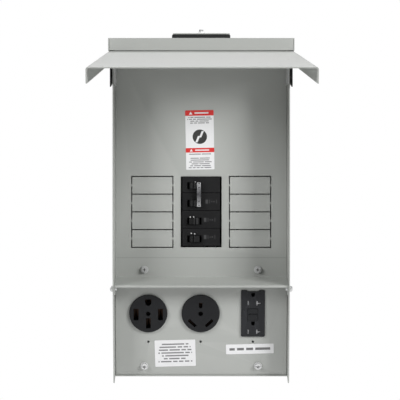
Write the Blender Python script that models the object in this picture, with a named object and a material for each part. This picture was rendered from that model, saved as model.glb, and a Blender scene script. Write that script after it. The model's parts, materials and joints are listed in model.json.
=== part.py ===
# Outdoor power-outlet panel: a steel enclosure with a lift-up lid, a breaker deadfront and three receptacles.
# Metres, +Z up. The origin is the centre of the enclosure's back face, and the front faces -Y.
import math

import bmesh
import bpy
from mathutils import Matrix, Vector

# Sheet metal and clearances
SHEET = 0.0015
GAP = 0.0003
BEND = 0.0012               # inside radius of a folded corner

# Enclosure shell
HALF_WIDTH = 0.124
WALL_TOP = 0.2402
WALL_FOOT = -0.242          # lowest point of the side walls
FLOOR = -0.2345             # underside of the bottom wall
FRONT = -0.1335             # plane of the side walls' front edges
SLOPE_START = -0.085        # below this height the front edges lean back
SLOPE_BACK = 0.0235
FLOOR_FRONT = -0.0855
MOUNT_HOLE_RADIUS = 0.004
MOUNT_HOLES = [(-0.095, 0.205), (0.095, 0.205), (-0.095, -0.205), (0.095, -0.205)]

# Rain cap and hub
CAP_HALF_WIDTH = 0.1295
CAP_TOP = 0.242
CAP_FLANGE = 0.0171
CAP_SEAM = 0.0005           # width of the open corner seams of the band
CAP_FRONT = -0.146
HUB_CENTRE_Y = -0.038
HUB_HALF_WIDTH = 0.042
HUB_HALF_DEPTH = 0.0345
HUB_HOLE_RADIUS = 0.026
HUB_COLLAR_TOP = 0.2545
HUB_PLATE_TOP = 0.2566
HUB_BOLT_TOP = 0.2650

# Lid and hinge
PIVOT_Y = FRONT - 0.0056
PIVOT_Z = 0.2177
LID_SLOPE = math.radians(7.65)
LID_FACE = 0.007            # the panel's outer face above the pivot
LID_REAR = 0.0048           # the panel's reach behind the pivot
LID_LENGTH = 0.454
LID_HALF_WIDTH = 0.1293
LID_FLANGE = 0.0185
PIN_RADIUS = 0.0025
BRACKET_INNER = 0.1257
BRACKET_OUTER = 0.1272
BRACKET_BACK = FRONT + 0.060

# Deadfront
DEADFRONT_Y = -0.0765
DEADFRONT_HALF_WIDTH = 0.1222
DEADFRONT_TOP = 0.2385
CREASE_Z = -0.0656
DEADFRONT_FOOT = -0.0932
LEDGE_FRONT_Y = FRONT + 0.005
LEDGE_Z = -0.1026
LIP_DROP = 0.003
POLE = 0.0254
WINDOW_HALF_WIDTH = 0.0293
WINDOW_HALF_HEIGHT = 2 * POLE
TWIST_OUT_INNER = 0.0405
TWIST_OUT_OUTER = 0.0995
SLIT = 0.0013
TAB = 0.0026                 # width of the bridges that hold the filler plates
SCREW_X = 0.081
DEADFRONT_SCREW_Z = -0.0828
STUD_Z = -0.1075
STUD_Y = FRONT + 0.009

# Receptacle panel, in its own leaning frame: its face is the frame's XZ plane
PANEL_LEAN = math.radians(8.73)
PANEL_ORIGIN = (0, FRONT + 0.040, -0.16775)
PANEL_TOP = 0.0683
PANEL_FOOT = -0.0658
PANEL_FLANGE = 0.012
DEVICE_Z = 0.0241           # centre height of the three receptacles in the panel's frame
DEVICE_PITCH = 0.0743
DEVICE_SHIFT = -0.0008      # the middle receptacle's centre, to the side of the enclosure's
STRAP_SCREW = 0.0413        # device centre to each strap screw hole
STRAP_HALF_HEIGHT = 0.0438
PANEL_SCREW_Z = -0.0524
FACE_RADIUS = 0.0269
FACE_SIDES = 36
FACE_PROUD = 0.003
FACE_BACK = 0.0045          # rear of a round face moulding
HOUSING_HALF = 0.032
HOUSING_BACK = 0.031
CONTACT_FRONT = {"receptacle_50": 0.0110, "receptacle_30": 0.0056}
CONTACT_BACK = 0.0236
GFCI_HALF_WIDTH = 0.01665
GFCI_HALF_HEIGHT = 0.0334
GFCI_PROUD = 0.002
GROUND_LEVELS = (0.0270, -0.0144)
BLADE_LEVELS = (0.0149, -0.0265)
NOTCH_HALF_WIDTH = 0.0088
NOTCH_DEPTH = 0.0016
STRIP_FRONT = -0.0006       # front of the two contact strips
BUTTON_X = -0.0004
BUTTON_WIDTH = 0.0144

# Breakers
STACK_SHIFT = 0.002         # the pole stack sits slightly above the window's centre
CASE_LEFT, CASE_RIGHT = -0.036, 0.040
CASE_BACK = -0.0155
CASE_SHOULDER = -0.0742
CASE_FACE = -0.0785
FACE_HALF_WIDTH = 0.0268
HANDLE_X = -0.0097
HANDLE_Y = CASE_FACE + 0.008
HANDLE_DROP = 0.0026        # a handle sits below its pole's centre
HANDLE_HALF_HEIGHT = 0.0045
BARREL_RADIUS = 0.0095
PADDLE_TIP = 0.0150
PADDLE_HALF_WIDTH = 0.0046
TIE_INNER = -0.0004         # the tie plate's free edge, across the paddle
TIE_THICKNESS = 0.0007
HANDLE_SWING = math.radians(15)
STAB_X = 0.0305
STAB_HALF_WIDTH = 0.0015

# Interior
PAN_FACE = -0.0065
INSULATOR_FACE = -0.0108
BUS_FACE = -0.0138
BUS_TOP, BUS_FOOT = 0.100, -0.056

OLD_OBJECTS = list(bpy.data.objects)
for old in OLD_OBJECTS:
    bpy.data.objects.remove(old)


def finish(name, color, roughness, metallic=0.0):
    """A Principled material."""
    made = bpy.data.materials.new(name)
    made.use_nodes = True
    shader = made.node_tree.nodes["Principled BSDF"]
    shader.inputs["Base Color"].default_value = (*color, 1.0)
    shader.inputs["Roughness"].default_value = roughness
    shader.inputs["Metallic"].default_value = metallic
    return made


GREY = ((0.42, 0.44, 0.42), 0.45, 0.0)
BLACK = ((0.02, 0.02, 0.022), 0.5, 0.0)
CHARCOAL = ((0.035, 0.038, 0.043), 0.5, 0.0)
STEEL = ((0.62, 0.62, 0.60), 0.3, 1.0)
BRASS = ((0.75, 0.55, 0.25), 0.35, 1.0)
ALUMINIUM = ((0.80, 0.80, 0.80), 0.4, 1.0)
WHITE = ((0.85, 0.85, 0.85), 0.6, 0.0)


def box(low, high):
    """A closed box between two corners."""
    low, high = Vector(low), Vector(high)
    made = bmesh.new()
    place = Matrix.Translation((low + high) / 2) @ Matrix.Diagonal((*(high - low), 1))
    bmesh.ops.create_cube(made, size=1, matrix=place)
    return made


def placed(pair, axis, height):
    """A point of an outline, at a height along the outline's axis."""
    spot = list(pair)
    spot.insert("XYZ".index(axis), height)
    return spot


def prism(outline, axis, start, end):
    """A closed outline carried along X, Y or Z; its two numbers are the other axes in alphabetical order."""
    made = bmesh.new()
    face = made.faces.new([made.verts.new(placed(pair, axis, start)) for pair in outline])
    grown = bmesh.ops.extrude_face_region(made, geom=[face])
    moved = [item for item in grown["geom"] if isinstance(item, bmesh.types.BMVert)]
    bmesh.ops.translate(made, verts=moved, vec=placed((0, 0), axis, end - start))
    bmesh.ops.recalc_face_normals(made, faces=made.faces)
    return made


def rod(start, end, radius, sides=20, tip_radius=None):
    """A round or, with few sides, a hexagonal bar from one point to another."""
    start, end = Vector(start), Vector(end)
    turn = (end - start).to_track_quat("Z", "Y").to_matrix().to_4x4()
    tip = radius if tip_radius is None else tip_radius
    made = bmesh.new()
    bmesh.ops.create_cone(made, cap_ends=True, segments=sides, radius1=radius, radius2=tip,
                          depth=(end - start).length, matrix=Matrix.Translation((start + end) / 2) @ turn)
    return made


def group(*solids):
    """Several separate solids as one, to join or cut with together."""
    made = bmesh.new()
    for solid in solids:
        carrier = bpy.data.meshes.new("carrier")
        solid.to_mesh(carrier)
        solid.free()
        made.from_mesh(carrier)
        bpy.data.meshes.remove(carrier)
    return made


def folded_lines(path, thickness, bend=BEND, steps=3):
    """The two faces of a sheet folded along a path, with its thickness on the path's left and round bends."""
    points = [Vector(point) for point in path]
    face, back = [], []
    for index, point in enumerate(points):
        before = (point - points[max(index - 1, 0)]).normalized()
        after = (points[min(index + 1, len(points) - 1)] - point).normalized()
        if before.length == 0 or after.length == 0:
            along = before + after
            face.append(point)
            back.append(point + thickness * Vector((-along.y, along.x)))
            continue
        turn = math.atan2(before.x * after.y - before.y * after.x, before.dot(after))
        side = math.copysign(1, turn)
        radius = bend + thickness * (side > 0)
        inward = side * Vector((-before.y, before.x))
        middle = Matrix.Rotation(turn / 2, 2) @ inward
        centre = point + middle * radius / math.cos(turn / 2)
        for step in range(steps + 1):
            spoke = Matrix.Rotation(turn * step / steps, 2) @ inward
            face.append(centre - spoke * radius)
            back.append(centre - spoke * (radius - side * thickness))
    return face, back


def folded(path, thickness, axis, start, end):
    """A folded sheet carried along an axis, with an edge strip at each end of the path."""
    made = bmesh.new()
    corners = [[made.verts.new(placed(pair, axis, height)) for pair in line]
               for height, lines in ((start, (0, 1)), (end, (1, 0)))
               for line in [folded_lines(path, thickness)[side] for side in lines]]
    for first, second in zip(corners, corners[1:] + corners[:1]):
        for step in range(len(first) - 1):
            made.faces.new([first[step], first[step + 1], second[step + 1], second[step]])
    for step in (0, -1):
        made.faces.new([line[step] for line in corners])
    bmesh.ops.recalc_face_normals(made, faces=made.faces)
    return made


def rounded(half_width, half_height, radius, centre=(0, 0), steps=3):
    """A rectangle outline with round corners."""
    outline = []
    for corner, (x, y) in enumerate([(1, 1), (-1, 1), (-1, -1), (1, -1)]):
        for step in range(steps + 1):
            angle = math.radians(90 * (corner + step / steps))
            outline.append((centre[0] + x * (half_width - radius) + radius * math.cos(angle),
                            centre[1] + y * (half_height - radius) + radius * math.sin(angle)))
    return outline


def turned_pair(x, z, angle):
    """A point turned about the origin."""
    return (x * math.cos(angle) - z * math.sin(angle), x * math.sin(angle) + z * math.cos(angle))


def show(name, solid, parent, place):
    """An object that carries a solid."""
    mesh = bpy.data.meshes.new(name)
    solid.to_mesh(mesh)
    solid.free()
    made = bpy.data.objects.new(name, mesh)
    bpy.context.scene.collection.objects.link(made)
    made.parent = parent
    made.matrix_local = place
    return made


def piece(name, solids, look, cuts=(), parent=None, place=Matrix()):
    """A named sub-part: the first solid, joined with the others, less the cuts."""
    made = show(name, solids[0], parent, place)
    steps = [("UNION", solid) for solid in solids[1:]] + [("DIFFERENCE", solid) for solid in cuts]
    for number, (operation, solid) in enumerate(steps):
        helper = show(f"{name}_{operation.lower()}_{number}", solid, parent, place)
        helper.hide_render = True
        helper.display_type = "WIRE"
        change = made.modifiers.new(f"{operation.title()} {number}", "BOOLEAN")
        change.operation = operation
        change.solver = "EXACT"
        change.object = helper
    made.data.materials.append(finish(name, *look))
    made.data.shade_smooth()
    made.data.set_sharp_from_angle(angle=math.radians(30))
    return made


def empty(name, place):
    """A parent that holds a frame or a joint axis."""
    made = bpy.data.objects.new(name, None)
    bpy.context.scene.collection.objects.link(made)
    made.matrix_world = place
    return made


def both_sides():
    """The two sides of the enclosure, as a name and a sign along X."""
    return [("left", -1), ("right", 1)]


# ---- Enclosure, cap and hub

def enclosure_shell():
    """Back, side and bottom walls in one folded shell."""
    tip = (FRONT + SLOPE_BACK, WALL_FOOT + 0.004)
    side = [(0, WALL_TOP), (FRONT, WALL_TOP), (FRONT, SLOPE_START), tip,
            (tip[0] + 0.0015, WALL_FOOT + 0.001), (tip[0] + 0.005, WALL_FOOT),
            (tip[0] + 0.014, FLOOR - 0.0035), (FLOOR_FRONT, FLOOR), (0, FLOOR)]
    hollow = [(-SHEET, WALL_TOP + 0.01), (-SHEET, FLOOR + SHEET), (FLOOR_FRONT, FLOOR + SHEET),
              (FLOOR_FRONT, WALL_FOOT - 0.01), (FRONT - 0.01, WALL_FOOT - 0.01),
              (FRONT - 0.01, WALL_TOP + 0.01)]
    inside = HALF_WIDTH - SHEET
    holes = [rod((x, -0.01, z), (x, 0.01, z), MOUNT_HOLE_RADIUS, 16) for x, z in MOUNT_HOLES]
    stud_holes = [rod((sign * 0.118, STUD_Y, STUD_Z), (sign * 0.130, STUD_Y, STUD_Z), 0.0028, 16)
                  for _, sign in both_sides()]
    piece("enclosure_shell", [prism(side, "X", -HALF_WIDTH, HALF_WIDTH)], GREY,
          cuts=[prism(hollow, "X", -inside, inside), group(*holes, *stud_holes)])


def top_cap():
    """Rain cap that overlaps the walls, with a front band and side flanges."""
    foot = CAP_TOP - CAP_FLANGE
    outside = box((-CAP_HALF_WIDTH, CAP_FRONT, foot), (CAP_HALF_WIDTH, 0, CAP_TOP))
    inside = CAP_HALF_WIDTH - SHEET
    hollow = box((-inside, CAP_FRONT + SHEET, foot - 0.01), (inside, 0.01, CAP_TOP - SHEET))
    seams = []
    for _, sign in both_sides():
        low, high = sorted((sign * inside, sign * (inside - CAP_SEAM)))
        seams.append(box((low, CAP_FRONT - 0.001, foot - 0.001),
                         (high, CAP_FRONT + SHEET / 2, CAP_TOP - SHEET)))
    hub_hole = rod((0, HUB_CENTRE_Y, 0.23), (0, HUB_CENTRE_Y, 0.25), HUB_HOLE_RADIUS, 32)
    piece("top_cap", [outside], GREY, cuts=[hollow, hub_hole, group(*seams)])


def hub_closure():
    """Collar, closure plate, bolt and clamp bar over the conduit opening."""
    y = HUB_CENTRE_Y
    square = rounded(HUB_HALF_WIDTH, HUB_HALF_DEPTH, 0.006, (0, y))
    piece("hub_collar", [prism(square, "Z", CAP_TOP + GAP, HUB_COLLAR_TOP)], BLACK,
          cuts=[rod((0, y, 0.23), (0, y, 0.27), HUB_HOLE_RADIUS - 0.002, 32)])
    plate = rounded(HUB_HALF_WIDTH - 0.0008, HUB_HALF_DEPTH - 0.0008, 0.0055, (0, y))
    piece("hub_closure_plate", [prism(plate, "Z", HUB_COLLAR_TOP + GAP, HUB_PLATE_TOP)], GREY,
          cuts=[rod((0, y, 0.24), (0, y, 0.27), 0.0033, 16)])
    bar_top = CAP_TOP - SHEET - GAP
    piece("hub_clamp_bar", [box((-0.038, y - 0.008, bar_top - 0.003), (0.038, y + 0.008, bar_top))], STEEL,
          cuts=[rod((0, y, 0.22), (0, y, 0.25), 0.0033, 16)])
    head_top = bar_top - 0.003 - GAP
    piece("hub_bolt", [rod((0, y, head_top - 0.004), (0, y, HUB_BOLT_TOP), 0.003, 16),
                       rod((0, y, head_top - 0.004), (0, y, head_top), 0.0052, 6),
                       rod((0, y, HUB_PLATE_TOP + GAP), (0, y, HUB_BOLT_TOP - 0.003), 0.0050, 6)], STEEL)


# ---- Lid and hinge

def hinge(name, sign):
    """A hinge bracket on two pressed bosses, its backing plate inside the wall, and the lid's pivot."""
    front = FRONT - 0.008
    step = PIVOT_Y + 0.0026
    outline = [(front, 0.1745), (front, PIVOT_Z + 0.0029), (step, PIVOT_Z + 0.0029), (step, 0.238),
               (BRACKET_BACK, 0.238), (BRACKET_BACK, 0.200), (FRONT + 0.035, 0.1815)]
    low, high = sorted((sign * BRACKET_INNER, sign * BRACKET_OUTER))
    bosses = [rod((sign * (HALF_WIDTH + GAP), y, z), (sign * (BRACKET_INNER + 0.0002), y, z), 0.005, 16)
              for y, z in [(FRONT + 0.012, 0.196), (FRONT + 0.048, 0.214)]]
    pivot_hole = rod((sign * 0.120, PIVOT_Y, PIVOT_Z), (sign * 0.132, PIVOT_Y, PIVOT_Z), PIN_RADIUS + GAP, 20)
    piece(f"hinge_bracket_{name}", [prism(outline, "X", low, high), group(*bosses)], BLACK, cuts=[pivot_hole])

    inner = sign * (HALF_WIDTH - SHEET - GAP)
    low, high = sorted((inner, inner - sign * 0.0012))
    piece(f"hinge_backing_{name}", [box((low, FRONT + 0.001, 0.180), (high, FRONT + 0.052, 0.232))], STEEL)

    wall = sign * (HALF_WIDTH + GAP)
    piece(f"lid_pivot_{name}", [
        rod((wall, PIVOT_Y, PIVOT_Z), (sign * LID_HALF_WIDTH, PIVOT_Y, PIVOT_Z), PIN_RADIUS, 20),
        rod((wall, PIVOT_Y, PIVOT_Z), (sign * (BRACKET_INNER - GAP), PIVOT_Y, PIVOT_Z), 0.0038, 20)], STEEL)


def lid():
    """Folded lid with side flanges and a rear stiffener, about the pivot axis."""
    place = Matrix.Translation((0, PIVOT_Y, PIVOT_Z)) @ Matrix.Rotation(LID_SLOPE, 4, "X")
    face = LID_FACE
    foot = face - LID_FLANGE
    across = [(LID_HALF_WIDTH, foot), (LID_HALF_WIDTH, face), (-LID_HALF_WIDTH, face),
              (-LID_HALF_WIDTH, foot)]
    panel = folded(across, SHEET, "Y", -LID_LENGTH, LID_REAR)
    stiffener = box((-0.120, LID_REAR - SHEET, face - 0.008), (0.120, LID_REAR, face - SHEET / 2))
    holes, notches = [], []
    for _, sign in both_sides():
        holes.append(rod((sign * 0.12, 0, 0), (sign * 0.135, 0, 0), PIN_RADIUS + GAP, 20))
        low, high = sorted((sign * 0.1252, sign * 0.135))
        notches.append(box((low, 0.0020, 0.0034), (high, 0.010, 0.010)))
    piece("lid", [panel, stiffener], GREY, cuts=[group(*holes), group(*notches)], place=place)


# ---- Deadfront

def slit(left, right, z, up, down):
    """Outline of a level slit with an arm up and an arm down at each end; an arm can have no length."""
    half = SLIT / 2
    top, foot = half + up, -half - down
    outline = [(left - half, foot), (left + half, foot), (left + half, -half), (right - half, -half),
               (right - half, foot), (right + half, foot), (right + half, top), (right - half, top),
               (right - half, half), (left + half, half), (left + half, top), (left - half, top)]
    return [(x, z + rise) for x, rise in dict.fromkeys(outline)]


def twist_outs():
    """Slits round the eight filler plates, which stay on by a bridge at the middle of each side."""
    arm = (POLE - SLIT - TAB) / 2
    slits = []
    for _, sign in both_sides():
        left, right = sorted((sign * TWIST_OUT_INNER, sign * TWIST_OUT_OUTER))
        for row in range(5):
            outline = slit(left, right, (2 - row) * POLE, arm * (row > 0), arm * (row < 4))
            slits.append(prism(outline, "Y", DEADFRONT_Y - 0.004, DEADFRONT_Y + 0.004))
    return group(*slits)


def deadfront():
    """Folded deadfront with the breaker window, filler plates, sloping ledge and lip."""
    slant_y = DEADFRONT_Y - 0.0012
    profile = [(DEADFRONT_Y + 0.012, DEADFRONT_TOP), (DEADFRONT_Y, DEADFRONT_TOP), (DEADFRONT_Y, CREASE_Z),
               (slant_y, DEADFRONT_FOOT), (LEDGE_FRONT_Y, LEDGE_Z), (LEDGE_FRONT_Y, LEDGE_Z - LIP_DROP)]
    panel = folded(profile, SHEET, "X", -DEADFRONT_HALF_WIDTH, DEADFRONT_HALF_WIDTH)
    window = prism(rounded(WINDOW_HALF_WIDTH, WINDOW_HALF_HEIGHT, 0.0008), "Y", DEADFRONT_Y - 0.005,
                   DEADFRONT_Y + 0.005)
    holes = group(*[rod((x, -0.09, DEADFRONT_SCREW_Z), (x, -0.06, DEADFRONT_SCREW_Z), 0.0024, 16)
                    for x in (-SCREW_X, SCREW_X)])
    tabs, stud_holes = [], []
    for _, sign in both_sides():
        low, high = sorted((sign * (DEADFRONT_HALF_WIDTH - SHEET), sign * DEADFRONT_HALF_WIDTH))
        tabs.append(box((low, LEDGE_FRONT_Y + 0.0005, -0.116), (high, LEDGE_FRONT_Y + 0.012, -0.1036)))
        stud_holes.append(rod((sign * 0.115, STUD_Y, STUD_Z), (sign * 0.13, STUD_Y, STUD_Z), 0.0028, 16))
    piece("deadfront", [panel, group(*tabs)], GREY, cuts=[window, twist_outs(), holes, group(*stud_holes)])


def hex_screw(name, spot, parent=None, place=Matrix()):
    """Slotted hexagon-washer-head screw whose washer rests at a spot on a face."""
    x, y, z = spot
    base = y - GAP
    piece(name, [rod((x, base, z), (x, base - 0.0011, z), 0.0055, 20),
                 rod((x, base - 0.0005, z), (x, base - 0.0046, z), 0.0044, 6),
                 rod((x, base - 0.0005, z), (x, base + 0.014, z), 0.0019, 12, 0.0012)], STEEL,
          cuts=[box((x - 0.006, base - 0.006, z - 0.0006), (x + 0.006, base - 0.0034, z + 0.0006))],
          parent=parent, place=place)


def side_stud(name, sign):
    """Round-headed stud that ties the ledge to a side wall."""
    wall = HALF_WIDTH + GAP

    def turned(inner, outer, radius, sides, tip=None):
        return rod((sign * inner, STUD_Y, STUD_Z), (sign * outer, STUD_Y, STUD_Z), radius, sides, tip)

    piece(f"side_stud_{name}", [turned(wall, wall + 0.0022, 0.0042, 20),
                                turned(wall + 0.0020, wall + 0.0035, 0.0041, 20, 0.0024),
                                turned(wall + 0.001, 0.1185, 0.0025, 16)], STEEL)


def label(name, size, spot, tilt, parent=None):
    """Thin printed label, a fraction of a millimetre off its face."""
    width, height = size
    outline = [turned_pair(x, z, tilt) for x, z in rounded(width / 2, height / 2, 0.001, steps=2)]
    place = Matrix.Translation(spot)
    piece(name, [prism(outline, "Y", -0.0004, -0.00015)], WHITE, parent=parent, place=place)


def support_rail(name, face, z, half_width, parent=None):
    """Channel that the screws of a cover bite into."""
    profile = [(face + 0.014, z - 0.009), (face, z - 0.009), (face, z + 0.009), (face + 0.014, z + 0.009)]
    cuts = group(*[rod((x, face - 0.01, z), (x, face + 0.01, z), 0.0023, 12) for x in (-SCREW_X, SCREW_X)])
    piece(name, [folded(profile, -SHEET, "X", -half_width, half_width)], STEEL, cuts=[cuts], parent=parent)


# ---- Breakers

def pole_centre(number):
    """Height of a pole's centre, counted from the top."""
    return STACK_SHIFT + (1.5 - number) * POLE


def breaker_case(number):
    """One pole: a case with a raised face, a handle pocket, a bus jaw and a load terminal."""
    z = pole_centre(number)
    half = POLE / 2 - GAP / 2
    face_top = min(z + half - 0.0002, WINDOW_HALF_HEIGHT - 0.0006)
    handle_z = z - HANDLE_DROP
    pocket = box((HANDLE_X - 0.0102, CASE_FACE - 0.001, handle_z - 0.0049),
                 (HANDLE_X + 0.0102, HANDLE_Y + 0.0108, handle_z + 0.0049))
    trunnion = rod((HANDLE_X, HANDLE_Y, handle_z - 0.0074), (HANDLE_X, HANDLE_Y, handle_z + 0.0074),
                   0.0018, 12)
    jaw = box((STAB_X - 0.002, CASE_BACK - 0.0148, z - 0.0065),
              (STAB_X + 0.002, CASE_BACK + 0.001, z + 0.0065))
    terminal = box((CASE_LEFT - 0.001, -0.050, z - 0.0045), (CASE_LEFT + 0.012, -0.041, z + 0.0045))
    piece(f"breaker_case_{number + 1}", [
        box((CASE_LEFT, CASE_SHOULDER, z - half), (CASE_RIGHT, CASE_BACK, z + half)),
        box((-FACE_HALF_WIDTH, CASE_FACE, z - half + 0.0002),
            (FACE_HALF_WIDTH, CASE_SHOULDER + 0.001, face_top))],
        BLACK, cuts=[pocket, trunnion, jaw, terminal])


def breaker_handle(number, swing):
    """Toggle on two trunnions: a ribbed barrel with a paddle, leaning to its switched side."""
    place = Matrix.Translation((HANDLE_X, HANDLE_Y, pole_centre(number) - HANDLE_DROP))
    place = place @ Matrix.Rotation(swing, 4, "Z")
    tall = HANDLE_HALF_HEIGHT
    half = PADDLE_HALF_WIDTH
    paddle = [(-half, -0.007), (-half + 0.0004, -PADDLE_TIP + 0.0010), (-half + 0.0014, -PADDLE_TIP),
              (half - 0.0014, -PADDLE_TIP), (half - 0.0004, -PADDLE_TIP + 0.0010), (half, -0.007)]
    piece(f"breaker_handle_{number + 1}", [
        rod((0, 0, -tall), (0, 0, tall), BARREL_RADIUS, 20),
        prism(paddle, "Z", -tall + 0.0001, tall - 0.0001),
        rod((0, 0, -tall - 0.0024), (0, 0, tall + 0.0024), 0.0015, 12)], BLACK, place=place)


def handle_tie(swing):
    """Bright angle that ties the two handles of the double-pole breaker: a plate on the tips, a side leg."""
    top = pole_centre(0) - HANDLE_DROP
    foot = pole_centre(1) - HANDLE_DROP
    place = Matrix.Translation((HANDLE_X, HANDLE_Y, foot)) @ Matrix.Rotation(swing, 4, "Z")
    leg = PADDLE_HALF_WIDTH + GAP
    outer = leg + TIE_THICKNESS
    seat = -PADDLE_TIP - GAP
    crown = seat - TIE_THICKNESS
    foot_y = -BARREL_RADIUS - 0.0010
    angle = [(TIE_INNER, seat), (TIE_INNER, crown), (outer - 0.0006, crown), (outer, crown + 0.0006),
             (outer, foot_y), (leg, foot_y), (leg, seat)]
    length = top - foot
    middle = (TIE_INNER + outer) / 2
    holes = [rod((middle, crown - 0.001, z + shift), (middle, seat + 0.0001, z + shift), 0.0009, 10)
             for z in (0, length) for shift in (-0.0030, 0.0030)]
    piece("handle_tie", [prism(angle, "Z", -0.0048, length + 0.0044)], STEEL, cuts=[group(*holes)],
          place=place)


# ---- Interior

def interior():
    """Mounting pan, insulator, two bus bars with stabs and lugs, and the neutral and ground bars."""
    pan = [(-0.078, -SHEET - GAP), (-0.078, PAN_FACE), (0.078, PAN_FACE), (0.078, -SHEET - GAP)]
    piece("interior_pan", [folded(pan, 0.0012, "Z", -0.070, 0.125)], STEEL)
    piece("bus_insulator", [box((0.006, INSULATOR_FACE, -0.062), (0.056, PAN_FACE - GAP, 0.118))], BLACK)
    bus_bar("bus_bar_a", 0.010, 0.022, 1, (0, 2))
    bus_bar("bus_bar_b", 0.039, 0.051, -1, (1, 3))
    terminal_bar("neutral_bar", (-0.070, -0.060), (-0.024, PAN_FACE - GAP), (-0.044, 0.070), 9)
    terminal_bar("ground_bar", (-0.108, -0.098), (-0.0125, -SHEET - GAP), (-0.042, 0.032), 6)


def bus_bar(name, left, right, reach, poles):
    """One bus bar with a line lug, and for each of its poles an arm and a stab on the stab line."""
    seat = INSULATOR_FACE - GAP
    edge = right if reach > 0 else left
    solids = [box((left, BUS_FACE, BUS_FOOT), (right, seat, BUS_TOP))]
    for number in poles:
        z = pole_centre(number)
        low, high = sorted((edge - reach * 0.001, STAB_X + reach * STAB_HALF_WIDTH))
        solids.append(box((low, BUS_FACE, z - 0.0055), (high, seat, z + 0.0055)))
        solids.append(box((STAB_X - STAB_HALF_WIDTH, CASE_BACK - 0.0140, z - 0.0060),
                          (STAB_X + STAB_HALF_WIDTH, BUS_FACE + 0.001, z + 0.0060)))
    middle = (left + right) / 2
    solids.append(box((middle - 0.009, BUS_FACE - 0.024, 0.072), (middle + 0.009, BUS_FACE + 0.0002, 0.096)))
    wire = rod((middle, BUS_FACE - 0.010, 0.06), (middle, BUS_FACE - 0.010, 0.11), 0.0065, 16)
    screw = rod((middle, BUS_FACE - 0.030, 0.084), (middle, BUS_FACE - 0.012, 0.084), 0.0040, 6)
    piece(name, solids, ALUMINIUM, cuts=[wire, screw])


def terminal_bar(name, across, deep, high, count):
    """A bar with a row of wire holes along its height."""
    middle = (deep[0] + deep[1]) / 2
    pitch = (high[1] - high[0]) / count
    levels = [high[0] + pitch * (step + 0.5) for step in range(count)]
    holes = [rod((across[0] - 0.01, middle, z), (across[1] + 0.01, middle, z), 0.0025, 10) for z in levels]
    piece(name, [box((across[0], deep[0], high[0]), (across[1], deep[1], high[1]))], ALUMINIUM,
          cuts=[group(*holes)])


# ---- Receptacles

def receptacle_panel(frame):
    """Leaning panel with the three device openings, strap screw holes and fixing holes."""
    across = [(DEADFRONT_HALF_WIDTH, PANEL_FLANGE), (DEADFRONT_HALF_WIDTH, 0), (-DEADFRONT_HALF_WIDTH, 0),
              (-DEADFRONT_HALF_WIDTH, PANEL_FLANGE)]
    rounds = [rod((x, -0.01, DEVICE_Z), (x, 0.01, DEVICE_Z), FACE_RADIUS + GAP, FACE_SIDES)
              for x in device_centres()[:2]]
    window = prism(gfci_outline(device_centres()[2], GAP), "Y", -0.01, 0.01)
    holes = [rod((x, -0.01, DEVICE_Z + shift), (x, 0.01, DEVICE_Z + shift), 0.0019, 12)
             for x in device_centres() for shift in (-STRAP_SCREW, STRAP_SCREW)]
    holes += [rod((x, -0.01, PANEL_SCREW_Z), (x, 0.01, PANEL_SCREW_Z), 0.0024, 12)
              for x in (-SCREW_X, SCREW_X)]
    piece("receptacle_panel", [folded(across, -SHEET, "Z", PANEL_FOOT, PANEL_TOP)], GREY,
          cuts=[group(*rounds), window, group(*holes)], parent=frame)


def device_centres():
    """Places of the three receptacles across the panel."""
    return [DEVICE_SHIFT + step * DEVICE_PITCH for step in (-1, 0, 1)]


def gfci_outline(x, grow):
    """Outline of the protected receptacle's face, with a shallow notch in its top edge."""
    width, height = GFCI_HALF_WIDTH + grow, GFCI_HALF_HEIGHT + grow
    notch, foot = NOTCH_HALF_WIDTH - grow, height - NOTCH_DEPTH
    outline = rounded(width, height, 0.0012, (x, DEVICE_Z), 2)
    tops = [(x + notch, DEVICE_Z + height), (x + notch, DEVICE_Z + foot), (x - notch, DEVICE_Z + foot),
            (x - notch, DEVICE_Z + height)]
    return outline[:3] + tops + outline[3:]


def strap(name, x, frame, opening, half_width):
    """Steel mounting strap behind the panel, with an ear above and below."""
    z = DEVICE_Z
    low, high = SHEET + GAP, SHEET + GAP + 0.0012
    ears = box((x - 0.012, low, z - STRAP_HALF_HEIGHT), (x + 0.012, high, z + STRAP_HALF_HEIGHT))
    plate = box((x - half_width, low, z - 0.0355), (x + half_width, high, z + 0.0355))
    holes = group(*[rod((x, -0.01, z + shift), (x, 0.01, z + shift), 0.0016, 12)
                    for shift in (-STRAP_SCREW, STRAP_SCREW)])
    piece(name, [plate, ears], STEEL, cuts=[opening, holes], parent=frame)


def slot(x, z, width, height, angle=0.0):
    """Outline of a blade slot turned about its own centre."""
    corners = [(-width / 2, -height / 2), (width / 2, -height / 2), (width / 2, height / 2),
               (-width / 2, height / 2)]
    return [(x + across, z + up) for across, up in [turned_pair(*corner, angle) for corner in corners]]


def ground_slot(x, z, width, height):
    """Outline of a U-shaped ground slot, flat at the top and round below."""
    radius = width / 2
    spring = z - height / 2 + radius
    turns = [math.radians(step * 30) for step in range(7)]
    arc = [(x - radius * math.cos(turn), spring - radius * math.sin(turn)) for turn in turns]
    return [(x + radius, z + height / 2), (x - radius, z + height / 2), *arc]


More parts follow.
